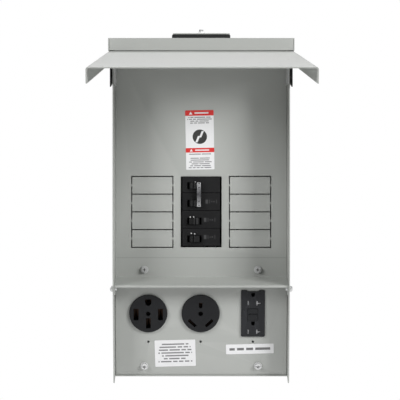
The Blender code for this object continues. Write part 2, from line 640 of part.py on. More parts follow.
def round_receptacle(name, x, frame, slots, ground):
    """Round-faced receptacle: face moulding, rear housing, strap, and a folded contact behind each slot."""
    z = DEVICE_Z
    rise, ground_width, ground_height = ground
    face = rod((x, FACE_BACK, z), (x, -FACE_PROUD, z), FACE_RADIUS, FACE_SIDES)
    through = [prism(slot(x + sx, z + sz, width, height, angle), "Y", -0.01, 0.01)
               for sx, sz, width, height, angle in slots.values()]
    through.append(prism(ground_slot(x, z + rise, ground_width, ground_height), "Y", -0.01, 0.01))
    through.append(rod((x, -0.01, z), (x, 0.01, z), 0.0033, 16))
    piece(f"{name}_body", [face], CHARCOAL, cuts=[group(*through)], parent=frame)

    block = prism(rounded(HOUSING_HALF, HOUSING_HALF, 0.006, (x, z)), "Y", FACE_BACK + GAP, HOUSING_BACK)
    chambers = [prism(slot(x + sx, z + sz, width, height, angle), "Y", 0.0, CONTACT_BACK)
                for sx, sz, width, height, angle in slots.values()]
    chambers.append(prism(ground_slot(x, z + rise, ground_width, ground_height), "Y", 0.0, CONTACT_BACK))
    piece(f"{name}_housing", [block], BLACK, cuts=[group(*chambers)], parent=frame)

    strap(f"{name}_strap", x, frame, rod((x, -0.01, z), (x, 0.01, z), FACE_RADIUS + GAP, FACE_SIDES), 0.0310)
    front, back, floor = CONTACT_FRONT[name], CONTACT_BACK - GAP, CONTACT_BACK - 0.003
    for part, (sx, sz, width, height, angle) in slots.items():
        contact = prism(slot(x + sx, z + sz, width - 2 * GAP, height - 2 * GAP, angle), "Y", front, back)
        bore = prism(slot(x + sx, z + sz, width * 0.42, height + 0.004, angle), "Y", -0.01, floor)
        piece(f"{name}_contact_{part}", [contact], BRASS, cuts=[bore], parent=frame)
    outline = ground_slot(x, z + rise, ground_width - 2 * GAP, ground_height - 2 * GAP)
    sleeve = prism(outline, "Y", front, back)
    bore = rod((x, -0.01, z + rise), (x, floor, z + rise), ground_width * 0.30, 16)
    piece(f"{name}_contact_ground", [sleeve], BRASS, cuts=[bore], parent=frame)


def gfci(frame):
    """Protected duplex receptacle: body, strap, two contact strips and the test and reset buttons."""
    x, z = device_centres()[2], DEVICE_Z
    face = prism(gfci_outline(x, 0), "Y", -GFCI_PROUD, 0.0040)
    housing = prism(rounded(0.0215, 0.0355, 0.003, (x, z)), "Y", 0.0033, 0.034)
    cuts = [prism(ground_slot(x, z + height, 0.0052, 0.0058), "Y", -0.01, 0.012) for height in GROUND_LEVELS]
    for height in BLADE_LEVELS:
        cuts.append(prism(slot(x - 0.0068, z + height, 0.0017, 0.0066), "Y", -0.01, STRIP_FRONT - 0.0002))
        tee = [(0.0047, -0.0033), (0.0064, -0.0033), (0.0064, -0.0007), (0.0109, -0.0007), (0.0109, 0.0007),
               (0.0064, 0.0007), (0.0064, 0.0033), (0.0047, 0.0033)]
        outline = [(x + across, z + height + up) for across, up in tee]
        cuts.append(prism(outline, "Y", -0.01, STRIP_FRONT - 0.0002))
    for _, height, tall in gfci_buttons():
        pocket = rounded(BUTTON_WIDTH / 2 + GAP, tall / 2 + GAP, 0.0006, (x + BUTTON_X, z + height))
        cuts.append(prism(pocket, "Y", -0.01, 0.0068))
    lamp_x, lamp_z = x - 0.0142, z + 0.0048
    cuts.append(rod((lamp_x, -0.01, lamp_z), (lamp_x, -GFCI_PROUD + 0.0012, lamp_z), 0.0010, 12))
    chambers = group(*[prism(contact_strip(x, z, side, GAP), "Y", STRIP_FRONT - GAP, 0.0080)
                       for side in (-1, 1)])
    piece("gfci_body", [face, housing], CHARCOAL, cuts=[group(*cuts), chambers], parent=frame)
    opening = prism(rounded(GFCI_HALF_WIDTH + GAP, GFCI_HALF_HEIGHT + GAP, 0.0012, (x, z)), "Y", -0.01, 0.01)
    strap("gfci_strap", x, frame, opening, 0.0200)
    for name, side in (("neutral", -1), ("hot", 1)):
        strip = prism(contact_strip(x, z, side, 0), "Y", STRIP_FRONT, STRIP_FRONT + 0.0014)
        piece(f"gfci_contact_{name}", [strip], STEEL, parent=frame)
    for name, height, tall in gfci_buttons():
        place = Matrix.Translation((x + BUTTON_X, 0, z + height))
        outline = rounded(BUTTON_WIDTH / 2, tall / 2, 0.0006)
        piece(f"gfci_{name}_button", [prism(outline, "Y", -GFCI_PROUD - 0.0011, 0.0050)], BLACK, parent=frame,
              place=place)


def contact_strip(x, z, side, grow):
    """Outline of a contact strip: a spine beside the buttons, with a pad behind each slot."""
    outer, spine, pad = 0.0126 + grow, 0.0096 - grow, 0.0042 - grow
    levels = [(0.0192 + grow, 0.0106 - grow), (-0.0222 + grow, -0.0308 - grow)]
    outline = [(outer, levels[0][0]), (pad, levels[0][0]), (pad, levels[0][1]), (spine, levels[0][1]),
               (spine, levels[1][0]), (pad, levels[1][0]), (pad, levels[1][1]), (outer, levels[1][1])]
    return [(x + side * across, z + up) for across, up in outline]


def gfci_buttons():
    """Name, height above the device's centre and size of each button."""
    return [("test", 0.0038, 0.0068), ("reset", -0.0057, 0.0086)]


def main():
    """Builds every sub-part."""
    enclosure_shell()
    top_cap()
    hub_closure()
    for name, sign in both_sides():
        hinge(name, sign)
        side_stud(name, sign)
        hex_screw(f"deadfront_screw_{name}", (sign * SCREW_X, DEADFRONT_Y - 0.0010, DEADFRONT_SCREW_Z))
    lid()
    deadfront()
    support_rail("support_rail_upper", DEADFRONT_Y + SHEET + GAP, DEADFRONT_SCREW_Z, DEADFRONT_HALF_WIDTH)
    label("warning_label", (0.0407, 0.0850), (-0.0019, DEADFRONT_Y, 0.1031), math.radians(1.0))

    for number in range(4):
        breaker_case(number)
        breaker_handle(number, -HANDLE_SWING if number == 2 else HANDLE_SWING)
    handle_tie(HANDLE_SWING)
    interior()

    panel = empty("panel_frame", Matrix.Translation(PANEL_ORIGIN) @ Matrix.Rotation(PANEL_LEAN, 4, "X"))
    receptacle_panel(panel)
    support_rail("support_rail_lower", SHEET + GAP, PANEL_SCREW_Z, DEADFRONT_HALF_WIDTH - SHEET - GAP, panel)
    for name, sign in both_sides():
        hex_screw(f"panel_screw_{name}", (sign * SCREW_X, 0, PANEL_SCREW_Z), panel)
    wide = {"left": (-0.0173, -0.0012, 0.0070, 0.0166, 0.0), "right": (0.0173, -0.0012, 0.0070, 0.0166, 0.0),
            "neutral": (0.0, -0.0138, 0.0066, 0.0148, 0.0)}
    round_receptacle("receptacle_50", device_centres()[0], panel, wide, (0.0162, 0.0088, 0.0095))
    slanted = {"left": (-0.0120, -0.0139, 0.0042, 0.0138, math.radians(47)),
               "right": (0.0120, -0.0139, 0.0042, 0.0138, math.radians(-47))}
    round_receptacle("receptacle_30", device_centres()[1], panel, slanted, (0.0118, 0.0050, 0.0078))
    gfci(panel)
    label("outlet_label", (0.0581, 0.0386), (-0.0370, 0, -0.0338), math.radians(1.5), panel)
    label("gfci_label", (0.0681, 0.0143), (0.0692, 0, -0.0276), math.radians(1.5), panel)


main()
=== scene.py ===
import json
import math

import bpy
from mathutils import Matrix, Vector


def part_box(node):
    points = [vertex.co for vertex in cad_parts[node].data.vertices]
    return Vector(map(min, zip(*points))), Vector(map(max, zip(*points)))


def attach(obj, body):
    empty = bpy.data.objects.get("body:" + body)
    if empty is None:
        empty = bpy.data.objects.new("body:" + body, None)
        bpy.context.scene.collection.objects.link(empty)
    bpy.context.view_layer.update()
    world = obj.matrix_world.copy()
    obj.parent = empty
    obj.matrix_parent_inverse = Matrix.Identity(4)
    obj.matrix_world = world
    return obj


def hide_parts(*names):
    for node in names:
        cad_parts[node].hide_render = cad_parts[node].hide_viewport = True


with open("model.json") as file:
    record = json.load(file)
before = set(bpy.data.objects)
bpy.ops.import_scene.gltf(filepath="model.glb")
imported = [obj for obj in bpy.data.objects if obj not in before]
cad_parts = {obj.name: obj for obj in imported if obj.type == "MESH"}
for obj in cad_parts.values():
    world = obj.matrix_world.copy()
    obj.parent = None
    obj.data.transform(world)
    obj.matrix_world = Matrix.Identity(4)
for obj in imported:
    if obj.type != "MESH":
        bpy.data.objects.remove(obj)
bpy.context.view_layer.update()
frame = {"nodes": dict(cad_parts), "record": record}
print("frame loaded,", len(frame["nodes"]), "nodes")


class Wire:                                                # a shader socket that Python can do sums with
    def __init__(self, paint, socket):
        self.paint = paint
        self.socket = socket

    def __add__(self, other):
        return self.paint.math("ADD", self, other)

    def __sub__(self, other):
        return self.paint.math("SUBTRACT", self, other)

    def __rsub__(self, other):
        return self.paint.math("SUBTRACT", other, self)

    def __mul__(self, other):
        return self.paint.math("MULTIPLY", self, other)

    def __truediv__(self, other):
        return self.paint.math("DIVIDE", self, other)

    def __pow__(self, other):
        return self.paint.math("POWER", self, other)

    def __lt__(self, other):
        return self.paint.math("LESS_THAN", self, other)

    def __gt__(self, other):
        return self.paint.math("GREATER_THAN", self, other)

    def __abs__(self):
        return self.paint.math("ABSOLUTE", self)

    __radd__ = __add__
    __rmul__ = __mul__


class Paint:                                               # one material and the nodes that feed its shader
    def __init__(self, name, roughness=0.5, metallic=0.0):
        self.material = bpy.data.materials.new(name)
        self.material.use_nodes = True
        self.tree = self.material.node_tree
        self.shader = self.tree.nodes["Principled BSDF"]
        self.feed("Roughness", roughness)
        self.feed("Metallic", metallic)

    def node(self, kind, settings, inputs, output=0):      # settings first, then socket values or links
        made = self.tree.nodes.new("ShaderNode" + kind)
        for key, value in settings.items():
            setattr(made, key, value)
        for key, value in inputs.items():
            if isinstance(value, Wire):
                self.tree.links.new(value.socket, made.inputs[key])
            else:
                made.inputs[key].default_value = value
        return Wire(self, made.outputs[output])

    def math(self, operation, first, second=0.0):
        return self.node("Math", {"operation": operation}, {0: first, 1: second})

    def larger(self, first, second):
        return self.math("MAXIMUM", first, second)

    def blend(self, factor, first, second):                # sockets 6, 7 and 2 are a Mix node's colours
        colors = {6: first if isinstance(first, Wire) else (*first, 1),
                  7: second if isinstance(second, Wire) else (*second, 1)}
        return self.node("Mix", {"data_type": "RGBA"}, {0: factor, **colors}, 2)

    def feed(self, name, value):
        if isinstance(value, Wire):
            self.tree.links.new(value.socket, self.shader.inputs[name])
        else:
            self.shader.inputs[name].default_value = value

    def place(self):                                       # object coordinates, in metres
        return self.node("TexCoord", {}, {}, "Object")

    def noise(self, vector, scale, detail=2.0):
        return self.node("TexNoise", {}, {"Vector": vector, "Scale": scale, "Detail": detail})

    def stretched(self, vector, scale):
        return self.node("Mapping", {}, {"Vector": vector, "Scale": scale})

    def axes(self, vector):
        return [self.node("SeparateXYZ", {}, {0: vector}, axis) for axis in "XYZ"]

    def pointiness(self):                                  # 0.5 on a flat, more on edges, less in hollows
        return self.node("NewGeometry", {}, {}, "Pointiness")

    def spread(self, value, low, high):                    # 0 at low, 1 at high
        return self.node("MapRange", {}, {"Value": value, "From Min": low, "From Max": high})

    def bump(self, height, distance, strength):
        normal = self.node("Bump", {}, {"Height": height, "Distance": distance, "Strength": strength})
        self.feed("Normal", normal)

    def band(self, value, low, high):                      # 1 between two values
        return (value > low) * (value < high)

    def box(self, across, up, centre, size):               # 1 inside a rectangle
        return self.band(across, centre[0] - size[0] / 2, centre[0] + size[0] / 2) * \
            self.band(up, centre[1] - size[1] / 2, centre[1] + size[1] / 2)


panelLean = math.radians(8.73)                             # the receptacle panel leans back by this

powderCoat = {
    "color": (0.405, 0.418, 0.398),
    "dusty": (0.425, 0.436, 0.418),
    "cloudScale": 9.0,
    "roughness": 0.36,
    "roughnessSpread": 0.10,
    "grainScale": 2600.0,
    "speckleFrom": 0.70,
    "peelScale": 620.0,                                    # orange peel, waves per metre
    "peelHeight": 0.00002,
    "peelStrength": 0.7,
    "rippleShare": 0.28,                                   # a longer wave under the peel
    "rippleHeight": 1.5,
    # pale colour for the random flecks and for the painted highlight on convex edges
    "fleckAndHighlightColor": (0.50, 0.51, 0.49),
    "fleckAndHighlightStrength": 0.35,
    "edgeHighlightRange": (0.54, 0.66),
    "edgeHighlightRagged": 0.04,
    "scuffStretch": (260.0, 30.0, 40.0),
    "scuffFrom": 0.66,
    "scuffRoughness": 0.05,
}

slitShadeLines = {                                           # painted shade in the slits round the filler plates of the deadfront, and at the fold
    "inner": 0.0405,
    "outer": 0.0995,
    "pitch": 0.0254,
    "rows": 2,
    "bridge": 0.0016,
    "half": 0.00085,
    "shade": (0.045, 0.046, 0.044),
    "strength": 0.75,
    "creaseShadeLine": -0.0656,                                     # level of the painted shade line at the fold above the ledge
    "creaseShadeHalf": 0.0006,
    "creaseShadeStrength": 0.28,
}


def slitShadeMask(paint, spot):
    across, _, up = paint.axes(spot)
    aside = abs(across)
    half, pitch = slitShadeLines["half"], slitShadeLines["pitch"]
    reach = pitch * slitShadeLines["rows"]
    inside = paint.band(aside, slitShadeLines["inner"] - half, slitShadeLines["outer"] + half)
    offRow = paint.math("PINGPONG", up, pitch / 2)         # distance from the nearest row line
    level = (offRow < half) * inside * (abs(up) < reach + half)
    inner = abs(aside - slitShadeLines["inner"]) < half
    outer = abs(aside - slitShadeLines["outer"]) < half
    unbridged = offRow < pitch / 2 - slitShadeLines["bridge"]
    upright = paint.larger(inner, outer) * (abs(up) < reach) * unbridged
    creaseShadeLine = abs(up - slitShadeLines["creaseShadeLine"]) < slitShadeLines["creaseShadeHalf"]
    return paint.larger(paint.larger(level, upright), creaseShadeLine * slitShadeLines["creaseShadeStrength"])


def greyPaint(name, slitShaded=False):
    paint = Paint(name)
    spot = paint.place()
    clouds = paint.noise(spot, powderCoat["cloudScale"], 4.0)
    grain = paint.noise(spot, powderCoat["grainScale"], 1.0)
    edge = paint.pointiness() + (grain - 0.5) * powderCoat["edgeHighlightRagged"]
    paintedEdgeHighlight = paint.spread(edge, *powderCoat["edgeHighlightRange"])
    speckle = paint.band(grain, powderCoat["speckleFrom"], 1.0)
    base = paint.blend(clouds, powderCoat["color"], powderCoat["dusty"])
    # random pale flecks, and a painted highlight along convex edges
    for mask in (speckle, paintedEdgeHighlight):
        base = paint.blend(mask * powderCoat["fleckAndHighlightStrength"], base, powderCoat["fleckAndHighlightColor"])
    # painted shade in the slits and along the fold
    if slitShaded:
        lines = slitShadeMask(paint, spot) * slitShadeLines["strength"]
        base = paint.blend(lines, base, slitShadeLines["shade"])
    paint.feed("Base Color", base)
    scuffs = paint.noise(paint.stretched(spot, powderCoat["scuffStretch"]), 1.0, 3.0)
    cloudy = powderCoat["roughness"] + (clouds - 0.5) * powderCoat["roughnessSpread"]
    scuffed = paint.band(scuffs, powderCoat["scuffFrom"], 1.0) * powderCoat["scuffRoughness"]
    paint.feed("Roughness", cloudy + scuffed)
    peel = paint.noise(spot, powderCoat["peelScale"], 2.0)
    ripple = paint.noise(spot, powderCoat["peelScale"] * powderCoat["rippleShare"], 1.0)
    height = peel + ripple * powderCoat["rippleHeight"]
    paint.bump(height, powderCoat["peelHeight"], powderCoat["peelStrength"])
    return paint.material


mouldings = {
    "breaker": {"color": (0.0075, 0.0075, 0.0080), "roughness": 0.50, "grain": 2400.0, "shine": 0.22},
    "handle": {"color": (0.0060, 0.0060, 0.0064), "roughness": 0.38, "grain": 1800.0, "shine": 0.30},
    "outlet": {"color": (0.0095, 0.0100, 0.0112), "roughness": 0.42, "grain": 2000.0, "shine": 0.25},
    "duplex": {"color": (0.0150, 0.0156, 0.0180), "roughness": 0.40, "grain": 2000.0, "shine": 0.28},
    "bracket": {"color": (0.0070, 0.0070, 0.0075), "roughness": 0.42, "grain": 900.0, "shine": 0.22},
    "gasket": {"color": (0.0150, 0.0154, 0.0154), "roughness": 0.70, "grain": 1200.0, "shine": 0.20},
    "button": {"color": (0.0125, 0.0130, 0.0145), "roughness": 0.40, "grain": 2200.0, "shine": 0.25},
}
mouldedFinish = {                                          # what all the dark mouldings share
    "cloudScale": 30.0,
    "cloudStrength": 0.35,
    "lighter": 1.9,
    "lift": 0.004,
    # painted highlight along convex edges of the mouldings
    "edgeHighlightBand": (0.53, 0.70),
    "edgeHighlightStrength": 0.6,
    "cloudRoughness": 0.12,
    "grainRoughness": 0.10,
    "grainHeight": 0.000012,
    "grainStrength": 0.8,
}


def darkPlastic(name, marks=()):
    look, finish = mouldings[name], mouldedFinish
    paint = Paint(name + "Plastic")
    spot = paint.place()
    clouds = paint.noise(spot, finish["cloudScale"], 3.0)
    grain = paint.noise(spot, look["grain"], 2.0)
    lighter = [part * finish["lighter"] + finish["lift"] for part in look["color"]]
    # painted highlight along convex edges
    plasticEdgeHighlight = paint.spread(paint.pointiness(), *finish["edgeHighlightBand"])
    paler = clouds * finish["cloudStrength"] + plasticEdgeHighlight * finish["edgeHighlightStrength"]
    base = paint.blend(paler, look["color"], lighter)
    across, _, up = paint.axes(spot)
    for centre, size, color in marks:                      # plain printed bars, and the painted highlight lines at the handle pockets
        base = paint.blend(paint.box(across, up, centre, size), base, color)
    paint.feed("Base Color", base)
    cloudy = look["roughness"] + (clouds - 0.5) * finish["cloudRoughness"]
    paint.feed("Roughness", cloudy + (grain - 0.5) * finish["grainRoughness"])
    paint.feed("Specular IOR Level", look["shine"])
    paint.bump(grain, finish["grainHeight"], finish["grainStrength"])
    return paint.material


metals = {
    "zinc": {"color": (0.80, 0.80, 0.785), "tint": (0.68, 0.69, 0.705), "roughness": 0.34,
             "metallic": 0.45},
    "darkBolt": {"color": (0.40, 0.40, 0.39), "tint": (0.30, 0.305, 0.31), "roughness": 0.38,
                 "metallic": 0.85},
    "brightTie": {"color": (0.52, 0.525, 0.54), "tint": (0.66, 0.66, 0.67), "roughness": 0.28,
                  "metallic": 0.75},
    # brass darkened as painted shade of the contacts deep in the receptacle slots
    "brass": {"color": (0.105, 0.055, 0.030), "tint": (0.060, 0.030, 0.017), "roughness": 0.50,
              "metallic": 0.60},
    "tinnedAluminium": {"color": (0.72, 0.72, 0.72), "tint": (0.60, 0.61, 0.62), "roughness": 0.36,
                        "metallic": 1.0},
    "platedContact": {"color": (0.92, 0.92, 0.93), "tint": (0.80, 0.80, 0.82), "roughness": 0.50,
                      "metallic": 0.1},
}
metalFinish = {                                            # what all the metals share
    "spangleScale": 240.0,
    "spangleRoughness": 0.10,
    "brushStretch": (3200.0, 220.0, 220.0),
    "brushRoughness": 0.20,
    "brushHeight": 0.000008,
    "brushStrength": 0.6,
    # painted shade for the recesses
    "hollowShade": (0.035, 0.034, 0.032),
    "hollowShadeRange": (0.495, 0.455),
    "hollowShadeStrength": 0.9,
}
# painted shade across the middle of the handle tie
tieMiddleShade = {"level": 0.0246, "reach": 0.0150, "fade": 0.7, "shade": (0.13, 0.13, 0.14)}


def brushedMetal(name, middleShade=None):
    look, finish = metals[name], metalFinish
    paint = Paint(name, metallic=look["metallic"])
    spot = paint.place()
    spangle = paint.noise(spot, finish["spangleScale"], 3.0)
    brush = paint.noise(paint.stretched(spot, finish["brushStretch"]), 1.0, 3.0)
    base = paint.blend(spangle, look["color"], look["tint"])
    hollowShade = paint.spread(paint.pointiness(), *finish["hollowShadeRange"])        # painted shade, darker in the recesses
    base = paint.blend(hollowShade * finish["hollowShadeStrength"], base, finish["hollowShade"])
    if middleShade:                                               # painted shade: the middle of a plate darker than its ends
        near = 1 - abs(paint.axes(spot)[2] - middleShade["level"]) / middleShade["reach"]
        base = paint.blend(paint.larger(near, 0.0) ** middleShade["fade"], base, middleShade["shade"])
    paint.feed("Base Color", base)
    brushed = look["roughness"] + (brush - 0.5) * finish["brushRoughness"]
    paint.feed("Roughness", brushed + (spangle - 0.5) * finish["spangleRoughness"])
    paint.bump(brush, finish["brushHeight"], finish["brushStrength"])
    return paint.material


labelInk = {
    "film": (0.80, 0.80, 0.81),
    "red": (0.66, 0.014, 0.012),
    "grey": (0.085, 0.085, 0.092),
    "black": (0.020, 0.020, 0.020),
}
labelFilm = {
    "fibreScale": 900.0,
    "fadedColor": (0.62, 0.62, 0.60),
    "faded": 0.04,
    "fibreSpread": 0.12,
    "roughness": 0.34,
    "coat": 0.1,
    "fibreHeight": 0.000006,
    "fibreStrength": 0.5,
}
printedBars = {"shift": 0.37, "joined": 0.55, "wordFill": 0.76, "foot": 0.20}


def labelPlace(paint, centre, tilt, lean=0.0, hinge=(0, 0, 0)):
    upright = paint.node("Mapping", {"vector_type": "TEXTURE"},
                         {"Vector": paint.place(), "Location": hinge, "Rotation": (lean, 0, 0)})
    flat = paint.node("Mapping", {"vector_type": "TEXTURE"},
                      {"Vector": upright, "Location": centre, "Rotation": (0, -tilt, 0)})
    across, _, up = paint.axes(flat)
    return across, up


def printedLines(paint, across, up, block):                # rows of plain bars of differing lengths
    down = (block["top"] - up) / block["pitch"]
    row = paint.math("FLOOR", down)
    within = paint.math("FRACT", down)
    along = across / block["word"] + row * printedBars["shift"] + block["seed"]
    cell = paint.node("CombineXYZ", {}, {0: paint.math("FLOOR", along), 1: row})
    chance = paint.node("TexWhiteNoise", {"noise_dimensions": "2D"}, {"Vector": cell})
    inWord = paint.math("FRACT", along) < printedBars["wordFill"]
    bar = paint.larger(chance > printedBars["joined"], inWord)
    ragged = paint.node("TexWhiteNoise", {"noise_dimensions": "1D"}, {"W": row + block["seed"]})
    reach = block["width"] / 2 * (1 - ragged * block["ragged"])
    lowest = block["top"] - block["pitch"] * block["rows"]
    inside = (abs(across) < reach) * paint.band(up, lowest, block["top"])
    foot = printedBars["foot"]
    return inside * paint.band(within, foot, foot + block["weight"]) * bar


def filmFinish(paint, color):
    fibre = paint.noise(paint.place(), labelFilm["fibreScale"], 2.0) - 0.5
    faded = fibre * labelFilm["fibreSpread"] + labelFilm["faded"]
    paint.feed("Base Color", paint.blend(faded, color, labelFilm["fadedColor"]))
    paint.feed("Roughness", labelFilm["roughness"] + fibre * labelFilm["fibreSpread"])
    paint.feed("Coat Weight", labelFilm["coat"])
    paint.bump(fibre, labelFilm["fibreHeight"], labelFilm["fibreStrength"])
    return paint.material


warningArt = {
    "tilt": math.radians(1.0),
    "bandWidth": 0.06,
    "bands": [                                             # level and height of each band, height of its sign
        {"level": 0.0386, "height": 0.0078, "sign": 0.0042},
        {"level": -0.0147, "height": 0.006396, "sign": 0.0036},
    ],
    "triangle": {"centre": -0.0125, "slope": 0.6},
    "title": {"centre": 0.0030, "width": 0.0200, "share": 0.50, "strength": 0.9},
    "disc": {"level": 0.0045, "radius": 0.0103},
    "bolt": {"slant": -0.42, "half": 0.0016, "upper": (0.0035, 0.0125, 0.0010),
             "lower": (-0.0035, 0.0055, -0.0016)},         # foot, head, shift of each slanted bar
    "inkStrength": 0.9,
    "lines": [
        {"top": 0.0335, "pitch": 0.0027, "rows": 4, "width": 0.0350, "word": 0.0056,
         "ragged": 0.25, "weight": 0.44, "seed": 1.3},
        {"top": -0.0192, "pitch": 0.0027, "rows": 1, "width": 0.0330, "word": 0.0060,
         "ragged": 0.10, "weight": 0.44, "seed": 2.6},
        {"top": -0.0250, "pitch": 0.0027, "rows": 6, "width": 0.0350, "word": 0.0056,
         "ragged": 0.30, "weight": 0.44, "seed": 3.1},
    ],
}


def warningPrint():
    low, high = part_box("warning_label")
    centre = ((low.x + high.x) / 2, low.y, (low.z + high.z) / 2)
    paint = Paint("warningPrint")
    across, up = labelPlace(paint, centre, warningArt["tilt"])
    color = labelInk["film"]
    for band in warningArt["bands"]:
        strip = paint.box(across, up, (0, band["level"]), (warningArt["bandWidth"], band["height"]))
        color = paint.blend(strip, color, labelInk["red"])
    triangle, title = warningArt["triangle"], warningArt["title"]
    for band in warningArt["bands"]:                       # plain white triangle and bar
        size = band["sign"]
        rise = (up - (band["level"] - size / 2)) / size
        narrowing = (1 - rise) * size * triangle["slope"]
        sign = paint.band(rise, 0, 1) * (abs(across - triangle["centre"]) < narrowing)
        bar = paint.box(across, up, (title["centre"], band["level"]),
                        (title["width"], size * title["share"]))
        color = paint.blend(sign, color, labelInk["film"])
        color = paint.blend(bar * title["strength"], color, labelInk["film"])
    disc, bolt = warningArt["disc"], warningArt["bolt"]
    above = up - disc["level"]
    patch = across * across + above * above < disc["radius"] ** 2
    color = paint.blend(patch, color, labelInk["black"])
    slanted = across + above * bolt["slant"]               # a zigzag bolt made of two slanted bars
    halves = [paint.band(up, foot, head) * (abs(slanted - shift) < bolt["half"])
              for foot, head, shift in (bolt["upper"], bolt["lower"])]
    color = paint.blend(paint.larger(*halves), color, labelInk["film"])
    for block in warningArt["lines"]:
        lines = printedLines(paint, across, up, block) * warningArt["inkStrength"]
        color = paint.blend(lines, color, labelInk["grey"])
    return filmFinish(paint, color)


outletArt = {
    "tilt": math.radians(1.5),
    "inkStrength": 0.85,
    "wide": {"top": 0.0150, "pitch": 0.0042, "rows": 7, "width": 0.0500, "word": 0.0085,
             "ragged": 0.35, "weight": 0.46, "seed": 5.2},
    "slim": {"top": 0.0030, "pitch": 0.0060, "rows": 1, "width": 0.0580, "word": 0.0130,
             "ragged": 0.0, "weight": 0.60, "seed": 9.4},
}


def outletPrint(node, name, block, ink):
    low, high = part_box(node)
    middle = (low + high) / 2
    paint = Paint(name)
    across, up = labelPlace(paint, (0, 0, 0), outletArt["tilt"], panelLean, middle)
    lines = printedLines(paint, across, up, block) * outletArt["inkStrength"]
    return filmFinish(paint, paint.blend(lines, labelInk["film"], labelInk[ink]))


caseMarks = {                                              # across and up, on the front of the breakers
    "pale": (0.62, 0.62, 0.62),
    "dots": [(-0.0084, 0.0426), (-0.0155, -0.0073), (-0.0106, -0.0073), (-0.0142, -0.0307),
             (-0.0093, -0.0314)],
    "dotSize": (0.0015, 0.0017),
    # painted highlight lines along the edge of the handle pockets
    "pocketGlint": (0.035, 0.035, 0.036),
    "lines": [(-0.0137, 0.0350), (-0.0137, 0.0150)],
    "glintSize": (0.0005, 0.0120),
    "dim": (0.060, 0.060, 0.062),
    "rows": [(0.0059, 0.0147), (0.0036, -0.0114), (0.0036, -0.0360)],
    "bars": [(0.0021, (0.0036, 0.0058)), (0.0062, (0.0008, 0.0052)), (0.0092, (0.0014, 0.0014)),
             (0.0124, (0.0018, 0.0018)), (0.0160, (0.0008, 0.0052))],
}


def breakerMarks():
    marks = [(spot, caseMarks["dotSize"], caseMarks["pale"]) for spot in caseMarks["dots"]]
    marks += [(spot, caseMarks["glintSize"], caseMarks["pocketGlint"]) for spot in caseMarks["lines"]]
    marks += [((left + across, level), size, caseMarks["dim"])
              for left, level in caseMarks["rows"] for across, size in caseMarks["bars"]]
    return marks


print("materials: start")
paintGrey = greyPaint("greyPowderCoat")
paintSlitShaded = greyPaint("slitShadedPowderCoat", True)
paintBracket = darkPlastic("bracket")
plasticOutlet = darkPlastic("outlet")
plasticDuplex = darkPlastic("duplex")
plasticHandle = darkPlastic("handle")
plasticGasket = darkPlastic("gasket")
plasticButton = darkPlastic("button")
plasticBreaker = darkPlastic("breaker", breakerMarks())
metalZinc = brushedMetal("zinc")
metalBolt = brushedMetal("darkBolt")
metalTie = brushedMetal("brightTie", tieMiddleShade)
metalBrassShaded = brushedMetal("brass")
metalTinned = brushedMetal("tinnedAluminium")
metalPlated = brushedMetal("platedContact")
printWarning = warningPrint()
printOutlet = outletPrint("outlet_label", "outletPrint", outletArt["wide"], "grey")
printDuplex = outletPrint("gfci_label", "duplexPrint", outletArt["slim"], "black")
print("materials: done")

nodeCopy = {"merge": 0.000005, "flatAngle": math.radians(1.0)}
edgeRounding = {"bevelAngle": math.radians(35), "smoothAngle": math.radians(32), "faceWeight": 100}


def only(piece):
    bpy.ops.object.select_all(action="DESELECT")
    piece.select_set(True)
    bpy.context.view_layer.objects.active = piece


def applyAll(piece):
    only(piece)
    for change in list(piece.modifiers):
        bpy.ops.object.modifier_apply(modifier=change.name)


def copyOfNode(node, name):                                # a merged copy of a CAD node, to be shaped further
    piece = frame["nodes"][node].copy()
    piece.data = piece.data.copy()
    piece.name = name
    piece.parent = None
    for key in list(piece.keys()):
        del piece[key]
    bpy.context.scene.collection.objects.link(piece)
    only(piece)
    bpy.ops.object.mode_set(mode="EDIT")
    bpy.ops.mesh.select_all(action="SELECT")
    bpy.ops.mesh.remove_doubles(threshold=nodeCopy["merge"])
    bpy.ops.mesh.dissolve_limited(angle_limit=nodeCopy["flatAngle"])
    bpy.ops.object.mode_set(mode="OBJECT")
    return piece


def roundEdges(piece, width, segments=2):
    only(piece)
    soft = piece.modifiers.new("softEdges", "BEVEL")
    soft.width = width
    soft.segments = segments
    soft.limit_method = "ANGLE"
    soft.angle_limit = edgeRounding["bevelAngle"]
    soft.use_clamp_overlap = True
    applyAll(piece)
    bpy.ops.object.shade_smooth_by_angle(angle=edgeRounding["smoothAngle"])
    even = piece.modifiers.new("evenNormals", "WEIGHTED_NORMAL")
    even.weight = edgeRounding["faceWeight"]
    even.keep_sharp = True
    applyAll(piece)


def finishPiece(piece, node, body, material):
    only(piece)
    bpy.ops.object.transform_apply(location=True, rotation=True, scale=True)
    piece.data.materials.clear()
    piece.data.materials.append(material)
    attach(piece, body)
    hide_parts(node)


def sliced(piece, normal, levels):                         # flat cuts across a piece, along a normal
    only(piece)
    bpy.ops.object.mode_set(mode="EDIT")
    for level in levels:
        bpy.ops.mesh.select_all(action="SELECT")
        bpy.ops.mesh.bisect(plane_co=normal * level, plane_no=normal)
    bpy.ops.mesh.select_all(action="DESELECT")
    bpy.ops.object.mode_set(mode="OBJECT")


def sunk(piece, chosen, depth):                            # presses the chosen faces in
    only(piece)
    bpy.ops.object.mode_set(mode="EDIT")
    bpy.ops.mesh.select_mode(type="FACE")
    bpy.ops.mesh.select_all(action="DESELECT")
    bpy.ops.object.mode_set(mode="OBJECT")
    for face in piece.data.polygons:
        face.select = chosen(face)
    bpy.ops.object.mode_set(mode="EDIT")
    bpy.ops.mesh.extrude_region_shrink_fatten(TRANSFORM_OT_shrink_fatten={"value": -depth})
    bpy.ops.mesh.select_all(action="DESELECT")
    bpy.ops.object.mode_set(mode="OBJECT")


